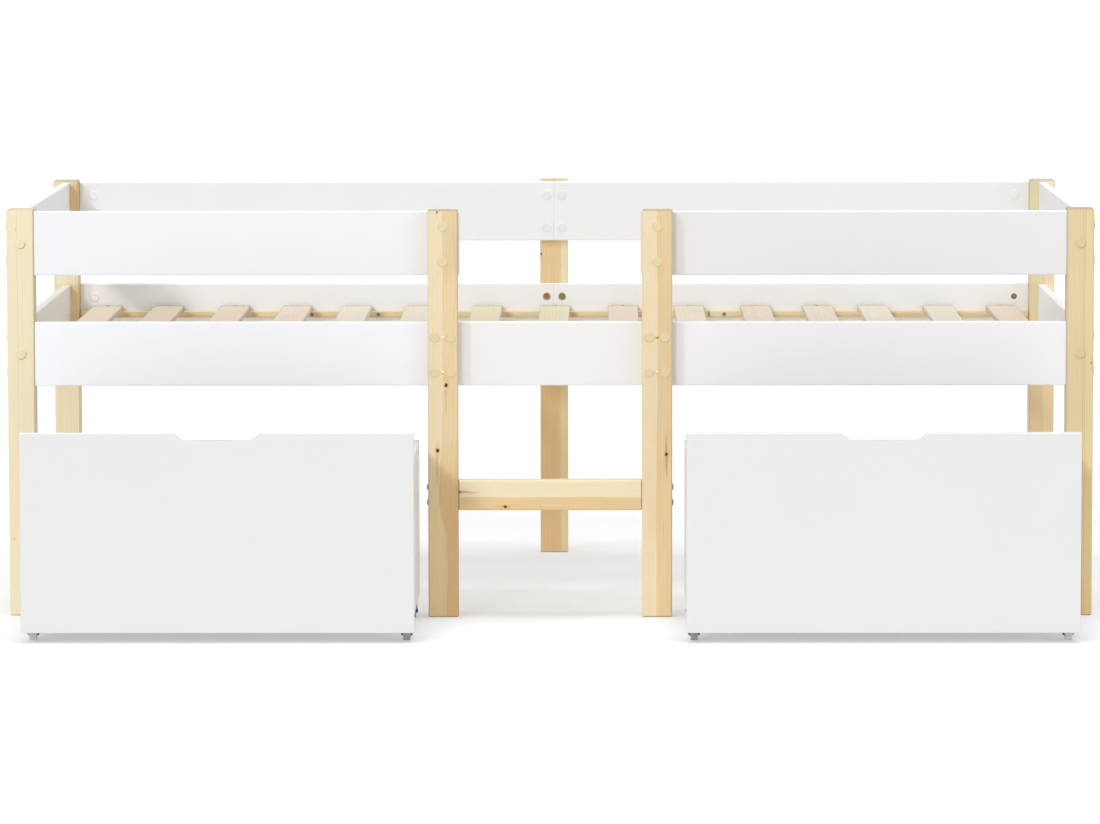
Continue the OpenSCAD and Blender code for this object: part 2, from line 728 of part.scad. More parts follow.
module wheel_body() {
    r = wheel_d / 2;
    w = wheel_w / 2;
    translate([0, 0, axle_z]) difference() {
        rotate([0, 90, 0]) rotate_extrude($fn = 72) polygon([
            [pin_hole_r, -7.2], [4.8, -7.2], [4.8, -w + 1.4], [r - 2.6, -w + 1.4], [r - 2.6, -w], [r - 0.9, -w], [r, -w + 0.9],
            [r, w - 0.9], [r - 0.9, w], [r - 2.6, w], [r - 2.6, w - 1.4], [4.8, w - 1.4], [4.8, 7.2], [pin_hole_r, 7.2]]);
        for (a = [0 : 60 : 300]) rotate([a, 0, 0]) bar_x([-w - 1, 7.2, 0], 1.3, 2 * w + 2);
    }
}

// Places of the four castors of a drawer: [x, y]
module at_castors(x) {
    at_drawer(x) for (sx = [-1, 1]) for (y = castor_y) translate([castor_x(x, sx), y, 0]) children();
}

module drawer_castor_forks(x) { color(zinc) at_castors(x) castor_fork(); }
module drawer_castor_axles(x) { color(zinc) at_castors(x) castor_axle(); }
module drawer_wheel(x, sx, y) { color(grey_plastic) at_drawer(x) translate([castor_x(x, sx), y, 0]) wheel_body(); }

// ---------------------------------------------------------------- the bed

corner_post();  // corner_post_front_left
other_end() corner_post();  // corner_post_front_right
other_side() corner_post();  // corner_post_back_left
other_end() other_side() corner_post();  // corner_post_back_right
ladder_post();  // ladder_post_left
other_end() ladder_post();  // ladder_post_right
ladder_rung();
post_back_middle();
guard_rail_front(-1);  // guard_rail_front_left
guard_rail_front(1);  // guard_rail_front_right
guard_rail_back(-1);  // guard_rail_back_left
guard_rail_back(1);  // guard_rail_back_right
end_rail_at(guard_z);  // guard_rail_end_left
other_end() end_rail_at(guard_z);  // guard_rail_end_right
side_rail_front(-1);  // side_rail_front_left
side_rail_front_middle();
side_rail_front(1);  // side_rail_front_right
side_rail_back(-1);  // side_rail_back_left
side_rail_back(1);  // side_rail_back_right
end_rail_at(side_z);  // end_rail_left
other_end() end_rail_at(side_z);  // end_rail_right
slat_battens(-batten_joint);  // slat_battens_front
other_side() slat_battens(batten_joint);  // slat_battens_back
slats(0, slat_third - 1);  // slats_left
slats(slat_third, 2 * slat_third - 1);  // slats_middle
slats(2 * slat_third, slat_count - 1);  // slats_right
corner_bolts();
barrel_nuts();
post_bolts();
sleeve_nuts();
rung_bolts();
joint_studs();
pine_bolt_caps();
white_bolt_caps();
slat_and_batten_screws();

drawer_front(drawer_left_x);  // drawer_left_front
drawer_side(drawer_left_x, -1);  // drawer_left_side_outer
drawer_side(drawer_left_x, 1);  // drawer_left_side_inner
drawer_back(drawer_left_x);  // drawer_left_back
drawer_base(drawer_left_x);  // drawer_left_base
drawer_cam_fittings(drawer_left_x);  // drawer_left_cam_fittings
drawer_screws(drawer_left_x);  // drawer_left_screws
drawer_castor_forks(drawer_left_x);  // drawer_left_castor_forks
drawer_castor_axles(drawer_left_x);  // drawer_left_castor_axles
drawer_wheel(drawer_left_x, -1, castor_front);  // drawer_left_wheel_front_outer
drawer_wheel(drawer_left_x, 1, castor_front);  // drawer_left_wheel_front_inner
drawer_wheel(drawer_left_x, -1, castor_back);  // drawer_left_wheel_back_outer
drawer_wheel(drawer_left_x, 1, castor_back);  // drawer_left_wheel_back_inner

drawer_front(drawer_right_x);  // drawer_right_front
drawer_side(drawer_right_x, 1);  // drawer_right_side_outer
drawer_side(drawer_right_x, -1);  // drawer_right_side_inner
drawer_back(drawer_right_x);  // drawer_right_back
drawer_base(drawer_right_x);  // drawer_right_base
drawer_cam_fittings(drawer_right_x);  // drawer_right_cam_fittings
drawer_screws(drawer_right_x);  // drawer_right_screws
drawer_castor_forks(drawer_right_x);  // drawer_right_castor_forks
drawer_castor_axles(drawer_right_x);  // drawer_right_castor_axles
drawer_wheel(drawer_right_x, 1, castor_front);  // drawer_right_wheel_front_outer
drawer_wheel(drawer_right_x, -1, castor_front);  // drawer_right_wheel_front_inner
drawer_wheel(drawer_right_x, 1, castor_back);  // drawer_right_wheel_back_outer
drawer_wheel(drawer_right_x, -1, castor_back);  // drawer_right_wheel_back_inner
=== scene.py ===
import math

import bpy
from mathutils import Matrix, Vector


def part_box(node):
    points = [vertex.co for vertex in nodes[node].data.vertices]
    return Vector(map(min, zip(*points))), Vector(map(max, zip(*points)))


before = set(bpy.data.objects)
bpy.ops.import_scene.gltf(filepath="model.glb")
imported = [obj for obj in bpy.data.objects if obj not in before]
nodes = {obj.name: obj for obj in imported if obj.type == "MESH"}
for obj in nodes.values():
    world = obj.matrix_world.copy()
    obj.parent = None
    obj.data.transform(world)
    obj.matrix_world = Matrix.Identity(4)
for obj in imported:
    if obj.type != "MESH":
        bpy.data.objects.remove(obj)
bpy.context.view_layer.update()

scene = bpy.context.scene


# ---------------------------------------------------------------- colour

def lin(r, g, b):
    """A screen colour, 0 to 255, as a linear one."""
    out = []
    for c in (r, g, b):
        c /= 255.0
        out.append(c / 12.92 if c <= 0.04045 else ((c + 0.055) / 1.055) ** 2.4)
    return tuple(out)


def scaled(c, k):
    if not hasattr(k, "__len__"):
        k = (k, k, k)
    return tuple(min(0.98, a * b) for a, b in zip(c, k))


# ---------------------------------------------------------------- material graphs, written as sums

class Val:
    """An output of a material's graph. Lengths are in millimetres."""

    def __init__(self, g, socket):
        self.g, self.socket = g, socket

    def __add__(self, o): return self.g.math("ADD", self, o)
    def __radd__(self, o): return self.g.math("ADD", self, o)
    def __sub__(self, o): return self.g.math("SUBTRACT", self, o)
    def __rsub__(self, o): return self.g.math("SUBTRACT", o, self)
    def __mul__(self, o): return self.g.math("MULTIPLY", self, o)
    def __rmul__(self, o): return self.g.math("MULTIPLY", self, o)
    def __truediv__(self, o): return self.g.math("DIVIDE", self, o)
    def __rtruediv__(self, o): return self.g.math("DIVIDE", o, self)


class Graph:
    def __init__(self, name):
        self.material = bpy.data.materials.new(name)
        self.material.use_nodes = True
        self.tree = self.material.node_tree
        self.tree.nodes.clear()
        out = self.new("ShaderNodeOutputMaterial")
        self.bsdf = self.new("ShaderNodeBsdfPrincipled")
        self.tree.links.new(self.bsdf.outputs[0], out.inputs[0])
        self.place = self.new("ShaderNodeTexCoord")
        sep = self.new("ShaderNodeSeparateXYZ")
        self.tree.links.new(self.place.outputs["Object"], sep.inputs[0])
        self.x, self.y, self.z = (Val(self, s) * 1000.0 for s in sep.outputs)

    def new(self, kind):
        return self.tree.nodes.new(kind)

    def feed(self, socket, value):
        if isinstance(value, Val):
            self.tree.links.new(value.socket, socket)
        elif hasattr(value, "__len__") and len(value) == 3 and len(getattr(socket, "default_value", ())) == 4:
            socket.default_value = (*value, 1.0)
        else:
            socket.default_value = value

    def math(self, op, a, b=None, c=None, clamp=False):
        n = self.new("ShaderNodeMath")
        n.operation = op
        n.use_clamp = clamp
        for socket, value in zip(n.inputs, (a, b, c)):
            if value is not None:
                self.feed(socket, value)
        return Val(self, n.outputs[0])

    def vector(self, x, y, z):
        n = self.new("ShaderNodeCombineXYZ")
        for socket, value in zip(n.inputs, (x, y, z)):
            self.feed(socket, value)
        return Val(self, n.outputs[0])

    def noise(self, vector, detail=2.0, roughness=0.5, distortion=0.0):
        n = self.new("ShaderNodeTexNoise")
        self.feed(n.inputs["Vector"], vector)
        n.inputs["Scale"].default_value = 1.0
        n.inputs["Detail"].default_value = detail
        n.inputs["Roughness"].default_value = roughness
        n.inputs["Distortion"].default_value = distortion
        return Val(self, n.outputs[0])

    def cells(self, vector, randomness=1.0):
        n = self.new("ShaderNodeTexVoronoi")
        self.feed(n.inputs["Vector"], vector)
        n.inputs["Scale"].default_value = 1.0
        n.inputs["Randomness"].default_value = randomness
        return Val(self, n.outputs["Distance"]), Val(self, n.outputs["Color"])

    def chance(self, w):
        n = self.new("ShaderNodeTexWhiteNoise")
        n.noise_dimensions = "1D"
        self.feed(n.inputs["W"], w)
        return Val(self, n.outputs["Value"])

    def ramp(self, value, low, high, to_low=0.0, to_high=1.0, smooth=True):
        n = self.new("ShaderNodeMapRange")
        n.interpolation_type = "SMOOTHSTEP" if smooth else "LINEAR"
        for key, v in (("Value", value), ("From Min", low), ("From Max", high), ("To Min", to_low), ("To Max", to_high)):
            self.feed(n.inputs[key], v)
        return Val(self, n.outputs[0])

    def mix(self, share, a, b, blend="MIX"):
        n = self.new("ShaderNodeMix")
        n.data_type = "RGBA"
        n.blend_type = blend
        self.feed(n.inputs[0], share)
        self.feed(n.inputs[6], a)
        self.feed(n.inputs[7], b)
        return Val(self, n.outputs[2])

    def shade(self, colour, grey):
        """colour times a grey value"""
        return self.mix(1.0, colour, self.vector(grey, grey, grey), "MULTIPLY")

    def axis(self, name):
        return {"x": self.x, "y": self.y, "z": self.z}[name]

    def normal_along(self, name):
        """How far the surface faces along an axis of the piece, 0 to 1"""
        sep = self.new("ShaderNodeSeparateXYZ")
        self.tree.links.new(self.place.outputs["Normal"], sep.inputs[0])
        return self.math("ABSOLUTE", Val(self, sep.outputs["xyz".index(name)]))

    def bump(self, height, depth_mm, strength=1.0):
        n = self.new("ShaderNodeBump")
        n.inputs["Strength"].default_value = strength
        n.inputs["Distance"].default_value = depth_mm / 1000.0
        self.feed(n.inputs["Height"], height)
        self.tree.links.new(n.outputs[0], self.bsdf.inputs["Normal"])

    def finish(self, colour, roughness, **fixed):
        self.feed(self.bsdf.inputs["Base Color"], colour)
        self.feed(self.bsdf.inputs["Roughness"], roughness)
        for key, value in fixed.items():
            self.bsdf.inputs[key.replace("_", " ")].default_value = value
        return self.material


def box_mm(node):
    low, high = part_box(node)
    return [a * 1000 for a in low], [a * 1000 for a in high]


def edge_of(g, along, low, high, width):
    """1 along the long edges of a board, falling to 0 at width from them. along is the board's long axis."""
    out = None
    for i, name in enumerate("xyz"):
        if name == along:
            continue
        mid, half = (low[i] + high[i]) / 2, (high[i] - low[i]) / 2
        near = g.ramp(half - g.math("ABSOLUTE", g.axis(name) - mid), width, 0.0)
        out = near if out is None else out * near
    return out


# ---------------------------------------------------------------- pine

KNOT = lin(60, 32, 8)
KNOT_RIM = lin(118, 70, 36)


def pine(name, along, across, depth, mid, pith, ring, sap, heart, heart_r, seed, late=0.62, knots=(), streaks=(),
         box=None, gloss=0.42, shift=None, sway=9.0, fade=2.5, late_tint=(0.86, 0.73, 0.58), tone=0.05, foot=None,
         lines=(), side=None, blush=0.5, rims=(), zones=(), cap=(0.66, 0.69, 0.95), leans=()):
    """Pine sawn from a log whose pith runs along the board at pith = (across, depth) from mid. The rings are
    spaced by ring, sapwood turns to heartwood inside heart_r, and knots are (along, across, radius, darkness)
    at places in the piece's frame. shift, if given, is a value that moves the whole figure along the board.
    The foot tint, (from, to, colour), paints light and shade towards one end: darker where drawers and deck shade the
    lower posts, lighter on the foot of the front right post. side = (from, to, colour) tints the wood towards one edge.
    The zones, (along from, along to, across from, across to, colour, depth limit), paint light and shade where rails,
    drawers and side faces shade or light the post, with some wood tone, and lines are fine dark grain lines
    (across, half width, share) that run the whole length. The crescents at the caps, (along, across, radius, share),
    are a painted shadow at the lower right of a bolt cap. cap tints the end grain, and leans are
    (along from, along to, shift) that move the rings sideways past a knot."""
    g = Graph(name)
    u, v, w = g.axis(along), g.axis(across), g.axis(depth)
    where = u if shift is None else u + shift * 911.0
    dv = v - mid[0] - pith[0]
    dw = w - mid[1] - pith[1]
    if shift is not None:
        dv = dv + (shift - 0.5) * 46.0
        dw = dw + (g.chance(shift * 37.0) - 0.5) * 30.0
    for u0, u1, by in leans:
        dv = dv - g.ramp(u, u0, u1) * by
    dv = dv + (g.noise(g.vector(where * 0.0021, seed, 0.0), 1.0) - 0.5) * (2 * sway)
    dw = dw + (g.noise(g.vector(where * 0.0021, seed + 7.3, 3.1), 1.0) - 0.5) * (2 * sway)
    warp = (g.noise(g.vector(where * 0.010, v * 0.045 + seed, w * 0.045), 2.0) - 0.5) * 4.2
    r = g.math("SQRT", dv * dv + dw * dw) + warp
    knot_share = None
    rim_share = None
    halo = None
    for ku, kv, kr, dark in knots:
        a = (u - ku) / kr
        b = (v - kv) / kr
        q = a * a * 0.075 + b * b * 0.22
        r = r + g.math("DIVIDE", kr * 1.7, 1.0 + q * q)
        wob = (g.noise(g.vector(u * 0.35, v * 0.35, ku), 2.0) - 0.5) * 0.7
        d = g.math("SQRT", a * a * 0.62 + b * b) + wob
        core = g.ramp(d, 1.0, 0.7) * dark
        rim = g.ramp(d, 1.5, 1.0) * g.ramp(d, 0.6, 1.0) * dark
        around = g.ramp(a * a * 0.012 + b * b * 0.12, 1.0, 0.0) * (0.32 * dark)
        knot_share = core if knot_share is None else g.math("MAXIMUM", knot_share, core)
        rim_share = rim if rim_share is None else g.math("MAXIMUM", rim_share, rim)
        halo = around if halo is None else g.math("MAXIMUM", halo, around)
    t = r / ring + (g.noise(g.vector(where * 0.0013, seed + 1.7, 9.0), 1.0) - 0.5) * 0.8
    i = g.math("FLOOR", t)
    f = t - i
    strength = g.chance(i * 0.7131 + seed) * 0.65 + 0.35
    band = g.ramp(f, 0.30, 0.88) * g.ramp(f, 1.0, 0.93) * strength
    inside = g.ramp(r + (g.noise(g.vector(where * 0.006, v * 0.05, seed + 4.0), 2.0) - 0.5) * 5.0, heart_r + fade, heart_r - fade)
    base = g.mix(inside, sap, heart)
    dark = g.mix(1.0, base, late_tint, "MULTIPLY")
    colour = g.mix(band * late, base, dark)
    fibre = g.noise(g.vector(where * 0.030, v * 2.3, w * 2.3 + seed), 3.0, 0.62)
    fleck = g.ramp(g.noise(g.vector(where * 0.085, v * 3.1 + 5.0, w * 3.1), 1.0), 0.66, 0.76)
    cloud = g.noise(g.vector(where * 0.0045, v * 0.02 + seed, w * 0.02), 2.0)
    grey = (1.0 - tone * 1.4) + fibre * (tone * 1.2) + cloud * (tone * 1.6)
    grey = grey * (1.0 - fleck * 0.055)
    colour = g.shade(colour, grey)
    # a pinkish flush that comes and goes along the edge of the heartwood
    flush = g.ramp(g.noise(g.vector(where * 0.0085, v * 0.035 + seed, w * 0.03), 2.0, 0.6), 0.48, 0.70)
    flush = flush * g.ramp(g.math("ABSOLUTE", r - heart_r), 26.0, 2.0)
    colour = g.mix(flush * blush, colour, g.mix(1.0, colour, (1.0, 0.90, 0.80), "MULTIPLY"))
    # painted light and shade towards one end of the post, where the drawers and the deck shade it
    if foot is not None:
        colour = g.mix(g.ramp(u, foot[0], foot[1]), colour, g.mix(1.0, colour, foot[2], "MULTIPLY"))
    if side is not None:
        colour = g.mix(g.ramp(v, side[0], side[1]), colour, g.mix(1.0, colour, side[2], "MULTIPLY"))
    # the zones paint light and shade where rails, drawers and side faces shade or light the post, with some wood tone
    for u0, u1, v0, v1, tint, *behind in zones:
        soft = 4.0 if behind else 28.0
        here = g.ramp(u, u0 - soft, u0 + soft) * g.ramp(u, u1 + soft, u1 - soft) * g.ramp(v, v0 - 2.0, v0 + 2.0) * g.ramp(v, v1 + 2.0, v1 - 2.0)
        if behind:
            here = here * g.ramp(w, behind[0] + 14.0, behind[0] - 14.0)
        colour = g.mix(here, colour, g.mix(1.0, colour, tint, "MULTIPLY"))
    # a painted shadow in a crescent at the lower right of each bolt cap
    for ru, rv, radius, share in rims:
        du, dr = u - ru, v - rv
        away = g.math("SQRT", du * du + dr * dr)
        low_right = g.ramp((dr - du) / radius, 0.1, 1.2)
        colour = g.mix(g.ramp(g.math("ABSOLUTE", away - radius), 1.3, 0.2) * low_right * share, colour, scaled(heart, (0.46, 0.38, 0.30)))
    for lv, half_wide, share in lines:
        p = g.math("ABSOLUTE", (v - lv) + (g.noise(g.vector(u * 0.006, lv, 4.0), 2.0) - 0.5) * 2.4) / half_wide
        fine = g.noise(g.vector(u * 0.02, lv, 8.0), 2.0) * 0.8 + 0.5
        colour = g.mix(g.ramp(p, 1.0, 0.3) * fine * share, colour, scaled(heart, (0.74, 0.60, 0.44)))
    # dark streaks beside knots and dark joints in the wood, and on the battens also painted shadows that the slats cast
    # on them
    for su, sv, half_long, half_wide, share in streaks:
        q = g.math("ABSOLUTE", (u - su) / half_long)
        p = g.math("ABSOLUTE", (v - sv) + (g.noise(g.vector(u * 0.02, su, 2.0), 1.0) - 0.5) * 3.0) / half_wide
        colour = g.mix(g.ramp(q, 1.0, 0.1) * g.ramp(p, 1.0, 0.0) * share, colour, scaled(heart, (0.80, 0.55, 0.38)))
    if halo is not None:
        colour = g.mix(halo, colour, scaled(heart, (0.82, 0.62, 0.42)))
        inner = g.ramp(g.math("FRACT", r * 0.9), 0.2, 0.8) * 0.35 + 0.65
        colour = g.mix(rim_share * 0.8, colour, KNOT_RIM)
        colour = g.mix(knot_share, colour, g.shade(KNOT, inner))
    ends = g.ramp(g.normal_along(along), 0.45, 0.68)
    colour = g.mix(ends * 0.85, colour, g.mix(band, scaled(heart, cap), scaled(heart, (0.64, 0.57, 0.53))))
    if box is not None:
        edge = edge_of(g, along, *box, 3.0)
        colour = g.mix(edge * (g.noise(g.vector(u * 0.05, v * 0.2, w * 0.2), 2.0) * 0.30), colour, scaled(heart, (0.78, 0.66, 0.50)))
    height = band * 0.55 + fibre * 0.35 - fleck * 0.25
    if knot_share is not None:
        height = height - rim_share * 0.5
    g.bump(height, 0.16)
    rough = g.math("ADD", gloss + 0.06, fibre * 0.10 - band * 0.06, clamp=True) + ends * 0.2
    return g.finish(colour, rough, Specular_IOR_Level=0.38)


def board_pine(name, node, along, across, depth, **how):
    low, high = box_mm(node)
    mid = [(low["xyz".index(a)] + high["xyz".index(a)]) / 2 for a in (across, depth)]
    return pine(name, along, across, depth, mid, box=(low, high), **how)


# ---------------------------------------------------------------- paint, metal and plastic

def paint(name, tint, seed, box, along="x", grain=1.0, rough=0.40, wear=1.0, below=None):
    """White satin paint: brushed or rolled on, a little thinner and greyer along the edges"""
    g = Graph(name)
    u = g.axis(along)
    a, b = (g.axis(n) for n in "xyz" if n != along)
    cloud = g.noise(g.vector(g.x * 0.006 + seed, g.y * 0.006, g.z * 0.006), 3.0)
    peel = g.noise(g.vector(g.x * 0.55, g.y * 0.55 + seed, g.z * 0.55), 2.0, 0.55)
    fine = g.noise(g.vector(g.x * 2.4, g.y * 2.4, g.z * 2.4 + seed), 2.0, 0.6)
    fibre = g.noise(g.vector(u * 0.012, a * 0.62 + seed, b * 0.62), 3.0, 0.6)
    specks = g.ramp(g.noise(g.vector(g.x * 0.35 + seed, g.y * 0.35, g.z * 0.35), 1.0), 0.74, 0.80)
    grey = 0.972 + cloud * 0.030 + peel * 0.012 + fibre * (0.014 * grain)
    grey = grey - specks * 0.012
    colour = g.shade(tint, grey)
    # painted light: the face of the back rail under the battens is made near white where the battens shade it
    if below is not None:
        colour = g.mix(g.ramp(g.z, below[0] + 1.0, below[0] - 1.0), colour, below[1])
    edge = edge_of(g, along, *box, 2.2)
    worn = g.ramp(g.noise(g.vector(g.x * 0.09, g.y * 0.09 + seed, g.z * 0.09), 3.0, 0.65), 0.50, 0.72)
    colour = g.mix(edge * (0.10 + worn * 0.25) * wear, colour, scaled(tint, (0.90, 0.875, 0.83)))
    g.bump(peel * 0.55 + fine * 0.2 + fibre * (0.45 * grain), 0.055)
    return g.finish(colour, (cloud - 0.5) * 0.10 + fine * 0.05 + (rough - 0.02), Specular_IOR_Level=0.42)


def board_paint(name, node, tint, seed, **how):
    return paint(name, tint, seed, box_mm(node), **how)


def metal(name, light, dark, rough, seed, patches=0.5):
    """Plated steel with the fine mottling of the plating"""
    g = Graph(name)
    cloud = g.noise(g.vector(g.x * 0.11 + seed, g.y * 0.11, g.z * 0.11), 3.0, 0.6)
    fine = g.noise(g.vector(g.x * 3.0, g.y * 3.0 + seed, g.z * 3.0), 2.0)
    colour = g.mix(g.ramp(cloud, 0.5 - patches / 2, 0.5 + patches / 2), light, dark)
    colour = g.shade(colour, 0.93 + fine * 0.10)
    g.bump(fine, 0.02)
    return g.finish(colour, fine * 0.16 + cloud * 0.10 + (rough - 0.13), Metallic=1.0)


def dress(node, material):
    for s in nodes[node].material_slots:
        s.material = material


# ---------------------------------------------------------------- the finish of every part

def posts():
    common = dict(along="z", across="x", depth="y")
    # On these posts the foot tints and the crescents at the caps are painted light and shade, and the zones are mostly
    # painted light and shade with some wood tone; lines, knots and streaks are the wood's own grain.
    dress("corner_post_front_left", board_pine("pine_corner_front_left", "corner_post_front_left", pith=(-95, 40), ring=3.4,
          sap=lin(234, 223, 189), heart=lin(229, 211, 170), heart_r=60, seed=1.3, late=0.42, late_tint=(0.93, 0.84, 0.72), **common,
          lines=[(-971.1, 0.9, 0.35), (-962.0, 0.6, 0.18)], knots=[(709, -972.8, 1.4, 0.16), (142, -981, 1.6, 0.2)],
          rims=[(682.75, -965.5, 9.6, 0.75), (480.75, -965.5, 9.6, 0.75)], zones=[(-50, 760, -941.2, -900, (0.62, 0.53, 0.45))], cap=(0.84, 0.86, 1.08)))
    dress("corner_post_front_right", board_pine("pine_corner_front_right", "corner_post_front_right", pith=(70, 60), ring=3.0,
          sap=lin(221, 202, 160), heart=lin(216, 195, 152), heart_r=70, seed=2.9, late=0.50, late_tint=(0.92, 0.82, 0.68),
          foot=(390, 190, (1.13, 1.10, 1.07)), side=(972.0, 977.0, (0.975, 1.0, 0.93)), cap=(0.62, 0.64, 0.84),
          rims=[(682.75, 965.5, 9.6, 0.5), (480.75, 965.5, 9.6, 0.5)], zones=[(-50, 300, 900, 981, (1.04, 0.96, 0.92)), (-50, 60, 900, 995, (1.03, 0.97, 0.93)),
                 (300, 741, 975, 1000, (1.03, 1.03, 1.06)), (541, 622, 900, 1000, (1.02, 1.02, 1.02))],
          lines=[(971.0, 0.9, 0.55), (974.2, 0.8, 0.50)], knots=[(463, 986.6, 1.3, 0.7)], **common))
    dress("corner_post_back_left", board_pine("pine_corner_back_left", "corner_post_back_left", pith=(60, 45), ring=3.2,
          sap=lin(231, 217, 184), heart=lin(219, 200, 158), heart_r=76, seed=4.1, late=0.5,
          zones=[(624, 737, -970, -900, (0.96, 0.83, 0.72), 637), (422, 539, -970, -900, (0.98, 0.88, 0.72), 637),
                 (541, 622, -985, -900, (1.05, 1.09, 1.14), 637)], cap=(0.66, 0.74, 1.06), **common))
    dress("corner_post_back_right", board_pine("pine_corner_back_right", "corner_post_back_right", pith=(-70, -50), ring=3.1,
          sap=lin(235, 223, 187), heart=lin(226, 213, 174), heart_r=80, seed=5.7, late=0.5,
          foot=(536, 426, (1.02, 0.91, 0.82)), zones=[(624, 741, 900, 985, (1.0, 1.05, 1.06), 637),
                 (541, 622, 966, 985, (0.93, 0.87, 0.86), 637)], cap=(0.62, 0.66, 0.98), **common))
    dress("ladder_post_left", board_pine("pine_ladder_left", "ladder_post_left", pith=(40, 30), ring=3.6,
          sap=lin(232, 217, 182), heart=lin(225, 202, 158), heart_r=61, seed=6.2, late=0.5, fade=1.2, sway=5.0,
          late_tint=(0.93, 0.82, 0.70), foot=(320, 240, (0.96, 0.87, 0.75)), blush=0.8, **common,
          leans=[(185, 150, 10.0), (330, 290, -4.0), (210, 180, 4.0)], cap=(0.56, 0.54, 0.62),
          zones=[(-20, 760, -167.5, -150, (0.55, 0.48, 0.40)),
                 (330, 620, -193, -160, (1.05, 1.05, 1.07)), (620, 745, -193, -160, (0.96, 0.96, 0.96)),
                 (-20, 200, -193, -160, (1.0, 0.95, 0.90)), (-20, 200, -230, -197, (1.04, 1.03, 0.98))],
          knots=[(425.4, -189.4, 2.7, 1.0), (306, -205.0, 2.7, 1.0), (741, -205.0, 1.4, 0.8)],
          streaks=[(394, -190.0, 34, 2.2, 0.55), (276, -206.0, 44, 3.4, 0.70), (232, -201.0, 40, 2.6, 0.45)]))
    dress("ladder_post_right", board_pine("pine_ladder_right", "ladder_post_right", pith=(40, 30), ring=3.3,
          sap=lin(233, 216, 179), heart=lin(223, 199, 154), heart_r=59.5, seed=7.7, late=0.5, fade=1.2, sway=4.0,
          late_tint=(0.93, 0.82, 0.70), blush=0.7, **common, cap=(0.58, 0.57, 0.66),
          zones=[(-20, 300, 190, 230, (1.06, 1.04, 1.03))],
          knots=[(299, 211.7, 2.3, 1.0)], streaks=[(300, 211.8, 54, 3.4, 1.0), (283, 212.4, 32, 2.2, 0.8), (160, 207.0, 12, 1.4, 0.5)]))
    dress("post_back_middle", board_pine("pine_back_middle", "post_back_middle", pith=(-40, 30), ring=3.0,
          sap=lin(240, 229, 188), heart=lin(233, 205, 160), heart_r=68, seed=8.4, late=0.55, fade=3.0, sway=4.0,
          foot=(520, 416, (0.95, 0.86, 0.77)),
          late_tint=(0.92, 0.80, 0.66), **common, knots=[(596, -26.0, 1.8, 0.9)]))
    dress("ladder_rung", board_pine("pine_rung", "ladder_rung", along="x", across="z", depth="y", pith=(-40, 30), ring=3.2,
          sap=lin(237, 223, 187), heart=lin(227, 198, 150), heart_r=57, seed=9.6, late=0.36, fade=1.4, sway=3.0,
          late_tint=(0.92, 0.82, 0.68), knots=[(-82, 203.0, 2.2, 1.0), (-165.5, 230.0, 2.0, 1.0)],
          streaks=[(-156, 230.2, 17, 2.4, 1.0), (-142, 229.0, 16, 3.2, 0.4), (-82, 203.2, 14, 2.4, 0.7), (-95, 203.0, 24, 1.8, 0.4)]))


def deck():
    """Slats and battens: one log figure per slat, picked by its place along the bed"""
    slat_sap, slat_heart = lin(211, 202, 185), lin(204, 188, 163)
    for k, name in enumerate(("slats_left", "slats_middle", "slats_right")):
        dress(name, slat_pine("pine_" + name, slat_sap, slat_heart, 11.0 + k))
    # the streak at 307 is the dark butt joint of the battens; the fourteen beside the slats are painted shadows of the
    # slats
    for k, name in enumerate(("slat_battens_front", "slat_battens_back")):
        dress(name, board_pine("pine_" + name, name, along="x", across="z", depth="y", pith=(-30, 22 - 40 * k), ring=2.6,
              sap=lin(226, 212, 174), heart=lin(216, 193, 150), heart_r=30, seed=14.0 + k, late=0.6, gloss=0.55,
              streaks=[(307.0, 479.0, 2.6, 30.0, 1.0)] + [(-885.0 + 126.4 * i + 37.0, 478.0, 15.0, 9.0, 0.62) for i in range(14)]))


